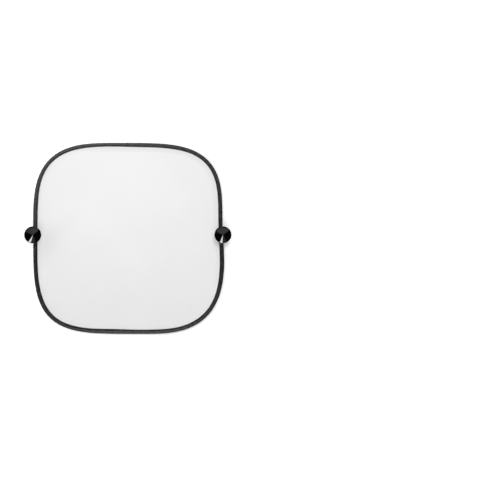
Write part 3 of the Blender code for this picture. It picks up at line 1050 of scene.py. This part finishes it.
def lay_cup_run(cup):
    """The cup's own map: distance from its axis, and height, in metres."""
    points = read_vertices(cup)
    reach = np.hypot(points[:, 0] - CUP_OVERHANG, points[:, 1])
    corners = corner_vertices(cup)
    drop_maps(cup)
    set_run(cup, reach[corners], points[corners, 2])


def cut_slot(cup):
    """A round socket for the edge, and a throat that narrows towards its mouth."""
    length = 2 * (HEAD_RADIUS + CUT_OVERRUN)
    lengthwise = (math.pi / 2, 0, 0)
    deselect_all()
    bpy.ops.mesh.primitive_cylinder_add(vertices=SOCKET_SIDES, radius=SOCKET_RADIUS, depth=length,
                                        rotation=lengthwise)
    socket = bpy.context.object
    apply_place(socket)
    deselect_all()
    bpy.ops.mesh.primitive_cube_add(size=1)
    throat = bpy.context.object
    mouth_x = CUP_OVERHANG - HEAD_RADIUS - CUT_OVERRUN
    mouth_half = SOCKET_RADIUS / math.cos(THROAT_TAPER) + mouth_x * math.tan(THROAT_TAPER)
    root_x = -SOCKET_RADIUS * math.sin(THROAT_TAPER)
    root_half = SOCKET_RADIUS * math.cos(THROAT_TAPER)
    for vertex in throat.data.vertices:
        x, half = (mouth_x, mouth_half) if vertex.co.x < 0 else (root_x, root_half)
        vertex.co = (x, vertex.co.y * length, math.copysign(half, vertex.co.z))
    for cutter in (socket, throat):
        only(cup)
        cut = cup.modifiers.new("slot", "BOOLEAN")
        cut.operation = "DIFFERENCE"
        cut.solver = "EXACT"
        cut.object = cutter
        bpy.ops.object.modifier_apply(modifier=cut.name)
        bpy.data.objects.remove(cutter)


# Finishes

def cloth_finish():
    """Grey-white taffeta: a fine plain weave with threads that vary a little, gathered at the hem, with
    painted shade along the hem that is strongest at the top right, and painted light that makes it paler
    on the left."""
    material, graph = new_finish("grey white taffeta")
    run = graph.run()
    hem = graph.run("hem")
    x, y, _ = graph.split(run)
    inward, _, _ = graph.split(hem)
    warp = (x * (math.pi / WEAVE_PITCH)).sine()
    weft = (y * (math.pi / WEAVE_PITCH)).sine()
    crossing = warp * weft
    warp_slubs = graph.noise(run, SLUB_SIZE, 2.0, (1, 0.02, 1))
    weft_slubs = graph.noise(run, SLUB_SIZE, 2.0, (0.02, 1, 1))
    slubs = warp_slubs + weft_slubs
    cloudy = graph.noise(graph.own_place(), CLOUD_SIZE, 1.0)
    gathers = graph.noise(hem, GATHER_SIZE, 2.0, (0.25, 1, 1))
    near_hem = 1 - inward.rise(*HEM_SHADE)
    # Painted shade along the hem, strongest towards the top right, where the tape shades the cloth.
    painted_hem_shade = near_hem * (0.1 + (x + y).rise(0.02, 0.22) * 0.9)
    # Painted light: the cloth is paler on the left and greyer on the right, evening out the lamps.
    painted_side_light = 0.12 - x.rise(-0.20, 0.20) * 0.15
    tone = crossing * 0.12 + slubs * 0.30 + cloudy * 0.4 + painted_side_light - painted_hem_shade * 0.95
    colour = graph.mix(tone.kept_to_share(), grey(232), grey(244))
    gathered = graph.bump(gathers * near_hem, GATHER_DEPTH, 0.5)
    normal = graph.bump(abs(crossing) + slubs * 0.5, WEAVE_DEPTH, 0.6, gathered)
    graph.principled({"Base Color": colour, "Roughness": 0.72, "Normal": normal,
                      "Specular IOR Level": 0.25, "Sheen Weight": 0.08, "Sheen Roughness": 0.5})
    return material


def tape_finish():
    """Black polyester tape: slanting ribs, a painted highlight along the crest, and painted sheen that is
    paler on some stretches. The seam line is darker, partly painted shade in its groove, and the legs
    past it and, along the bottom edge, the hollow beside the seam carry painted shade."""
    material, graph = new_finish("black woven tape")
    run = graph.run()
    along, across, _ = graph.split(run)
    _, y, _ = graph.split(graph.own_place())
    rib = ((along + across * 0.7) * (math.pi / RIB_PITCH)).sine()
    thread = ((across - along * 0.25) * (math.pi / TAPE_THREAD_PITCH)).sine()
    weave = abs(rib * thread)
    lint = graph.noise(run, LINT_SIZE, 3.0)
    patches = graph.noise(run, RUBBED_PATCH_SIZE, 2.0, (1, 1.6, 1))
    # Painted sheen: slow waves round the hoop make some stretches paler, as the ribs catch the light.
    tone_and_painted_sheen = TAPE_TONE_MEAN
    for turns, most, phase in PAINTED_SHEEN_STRETCHES:
        tone_and_painted_sheen = tone_and_painted_sheen + (along * (2 * math.pi / LENGTH * turns) + phase).sine() * most
    from_fold = abs(across - FOLD_RUN)
    # Painted highlight along the crest of the fold, where its threads face the light.
    painted_crest_highlight = 1 - abs(from_fold - CREST_RUN).rise(0.0004, 0.0020)
    # Painted shade in the hollow beside the seam, used along the bottom edge.
    painted_hollow_shade = 1 - abs(from_fold - SEAM_RUN + VALLEY_INSET).rise(0.0004, 0.0014)
    # Darker along the seam line: the stitching, and painted shade in its groove.
    seam = 1 - abs(from_fold - SEAM_RUN).rise(0.0001, 0.0007)
    # The legs past the seam are painted darker: painted shade beside the fold.
    leg = from_fold.rise(SEAM_RUN - 0.0006, SEAM_RUN + 0.0002)
    low_edge = 1 - y.rise(*LOW_EDGE)
    tone = tone_and_painted_sheen * (0.7 + painted_crest_highlight * 0.6) * (1 - leg * 0.45) - seam * 0.12
    tone = tone + low_edge * (painted_crest_highlight * 0.1 - painted_hollow_shade * 0.3)
    tone = tone + weave * 0.12 + (lint - 0.5) * 0.25 + (patches - 0.5) * 1.0
    colour = graph.mix(tone.kept_to_share(), grey(20), grey(88))
    rough = 0.62 - weave * 0.14 + lint * 0.1
    normal = graph.bump(weave + lint * 0.35, TAPE_WEAVE_DEPTH, 0.8)
    graph.principled({"Base Color": colour, "Roughness": rough, "Normal": normal,
                      "Specular IOR Level": 0.2, "Sheen Weight": 0.03, "Sheen Roughness": 0.4})
    return material


def thread_finish():
    """Black sewing thread, its plies twisted."""
    material, graph = new_finish("black sewing thread")
    run = graph.run()
    along, around, _ = graph.split(run)
    twist = abs(((along * 0.7 + around) * (math.pi / PLY_PITCH)).sine())
    fuzz = graph.noise(run, FUZZ_SIZE, 3.0)
    colour = graph.mix(twist * 0.6 + fuzz * 0.4, grey(20), grey(58))
    normal = graph.bump(twist + fuzz * 0.3, PLY_DEPTH, 0.7)
    graph.principled({"Base Color": colour, "Roughness": 0.5 + fuzz * 0.2, "Normal": normal,
                      "Specular IOR Level": 0.35})
    return material


def vinyl_finish():
    """Glossy black vinyl: faint flow from the mould, handling marks, dust and a duller rim."""
    material, graph = new_finish("glossy black vinyl")
    place = graph.own_place()
    reach, _, _ = graph.split(graph.run())
    flow = graph.noise(place, FLOW_SIZE, 1.0)
    smudge = graph.noise(place, SMUDGE_SIZE, 3.0)
    dust = 1 - graph.spots(place, DUST_SPACING).rise(0.05, 0.13)
    rim = reach.rise(*DULL_RIM)
    colour = graph.mix(dust * 0.5 + rim * 0.1, grey(7), grey(52))
    rough = 0.06 + smudge.rise(0.45, 0.75) * 0.06 + rim * 0.03 + dust * 0.3
    normal = graph.bump(flow, FLOW_DEPTH, 0.35)
    graph.principled({"Base Color": colour, "Roughness": rough, "Normal": normal, "IOR": 1.5})
    return material


def steel_finish(name, clean, stained, roughness, line_size):
    """Bare spring steel or plated tube, with drawing lines and small stains."""
    material, graph = new_finish(name)
    place = graph.own_place()
    stain = graph.noise(place, STAIN_SIZE, 3.0)
    lines = graph.noise(place, line_size, 2.0)
    colour = graph.mix(stain.rise(0.35, 0.75), grey(clean), grey(stained, (1.0, 0.97, 0.93)))
    normal = graph.bump(lines, DRAWING_DEPTH, 0.5)
    graph.principled({"Base Color": colour, "Metallic": 1.0, "Roughness": roughness + lines * 0.15,
                      "Normal": normal})
    return material


def dress(material, *pieces):
    for piece in pieces:
        piece.data.materials.clear()
        piece.data.materials.append(material)


# Putting it together

make_camera()
make_world()
make_lamps()
make_floor()

cloth = make_cloth()
tape = make_tape()
top_thread = make_stitches("seam_thread_top", 1)
under_thread = make_stitches("seam_thread_under", -1)
left_joint, right_joint = sorted(frame["joints"], key=lambda joint: joint["pos_m"][0])
left_cup = make_cup("turned_cup_left", left_joint)
right_cup = make_cup("turned_cup_right", right_joint)

dress(cloth_finish(), cloth)
dress(tape_finish(), tape)
dress(thread_finish(), top_thread, under_thread)
dress(vinyl_finish(), left_cup, right_cup)
dress(steel_finish("blued spring steel", 120, 96, 0.28, 0.0009), frame["nodes"]["spring_hoop"])
dress(steel_finish("plated ferrule steel", 176, 150, 0.34, 0.0014), frame["nodes"]["hoop_ferrule"])

for piece, node, slot in ((cloth, "shade_cloth", "cloth"), (tape, "edge_binding", "tape")):
    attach(piece, "shade")
    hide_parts(node)
for piece in (top_thread, under_thread):
    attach(piece, "shade")
for piece, side in ((left_cup, "left"), (right_cup, "right")):
    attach(piece, "cup_" + side)
    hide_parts("suction_cup_" + side)
